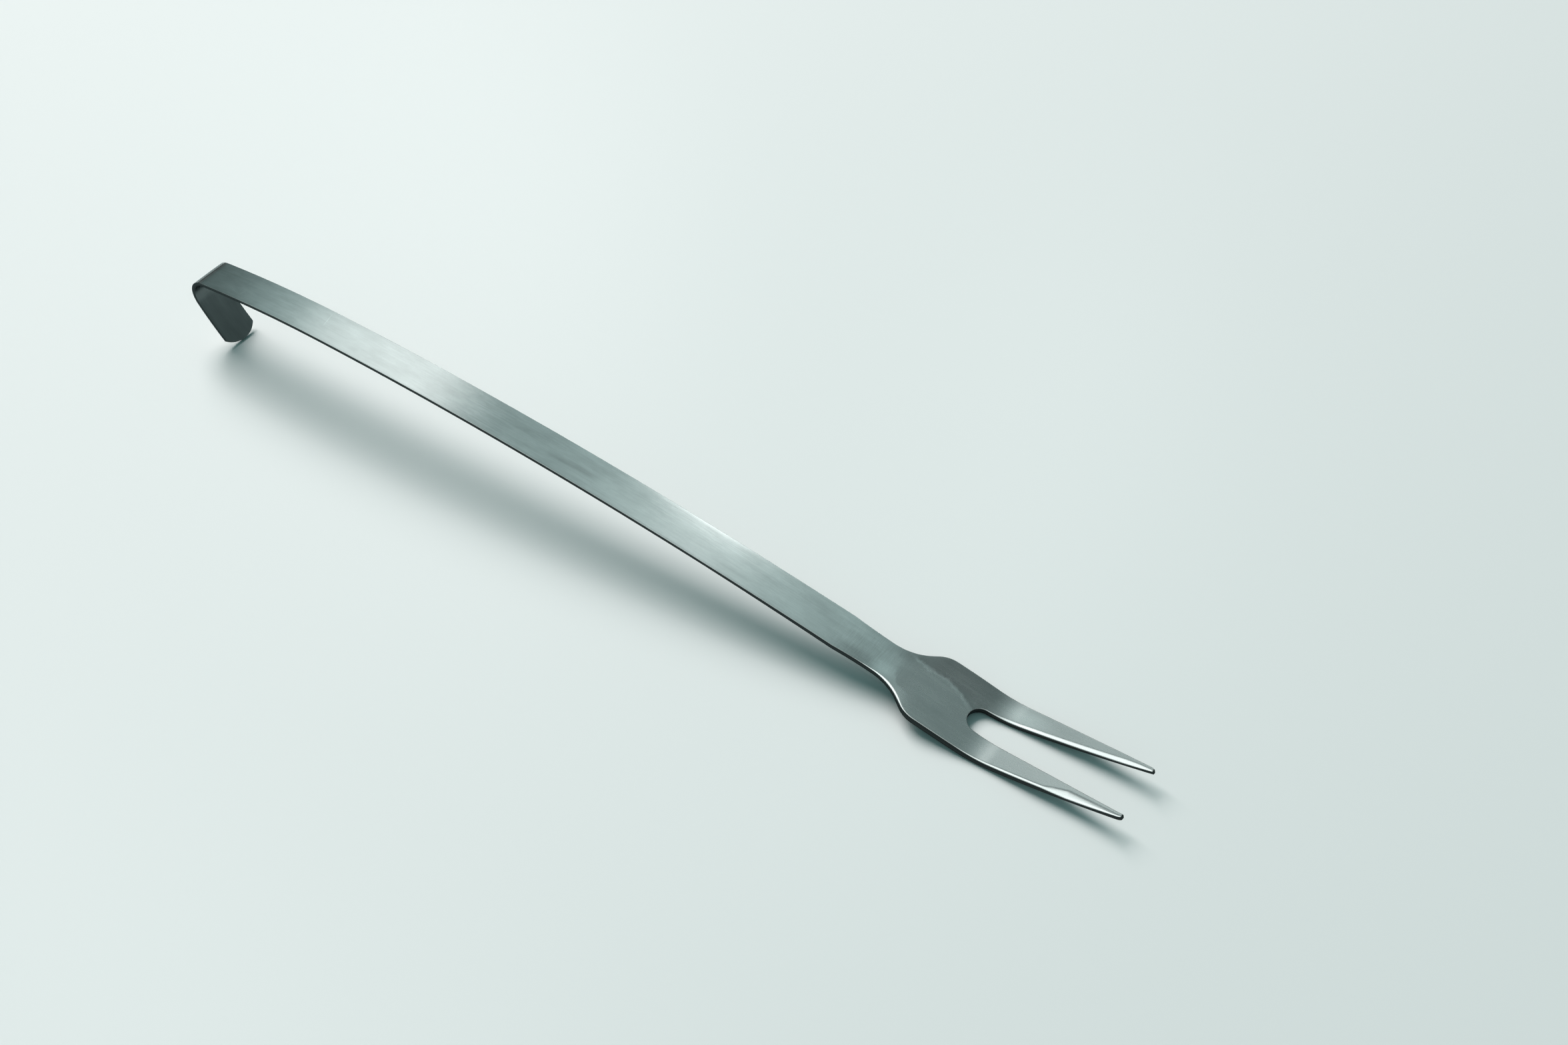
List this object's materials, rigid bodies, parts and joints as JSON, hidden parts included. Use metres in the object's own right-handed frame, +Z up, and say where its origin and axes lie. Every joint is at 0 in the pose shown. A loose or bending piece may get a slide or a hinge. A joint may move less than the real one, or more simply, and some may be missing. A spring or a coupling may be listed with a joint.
{
  "type": "kitchen serving fork",
  "caption": "Long steel kitchen fork: an arched strap handle with a hook to hang it by, welded to a dished head whose blunt tines rise off the table.",
  "frame": {"origin": "middle of the bounding box, on the surface the fork lies on", "axes": "+X from the hook to the tine tips, +Y across the strap, +Z up from the surface"},
  "size_m": [0.5177, 0.035, 0.0436],
  "materials": {
    "strap_steel": "brushed along the strap, worn, with fine cross scratches",
    "weld_steel": "ground flush and blotchy, with small pores",
    "head_steel": "satin, edges polished bright"
  },
  "bodies": {
    "root": {"handle_strap": "strap_steel", "neck_weld": "weld_steel", "fork_head": "head_steel"}
  },
  "joints": []
}
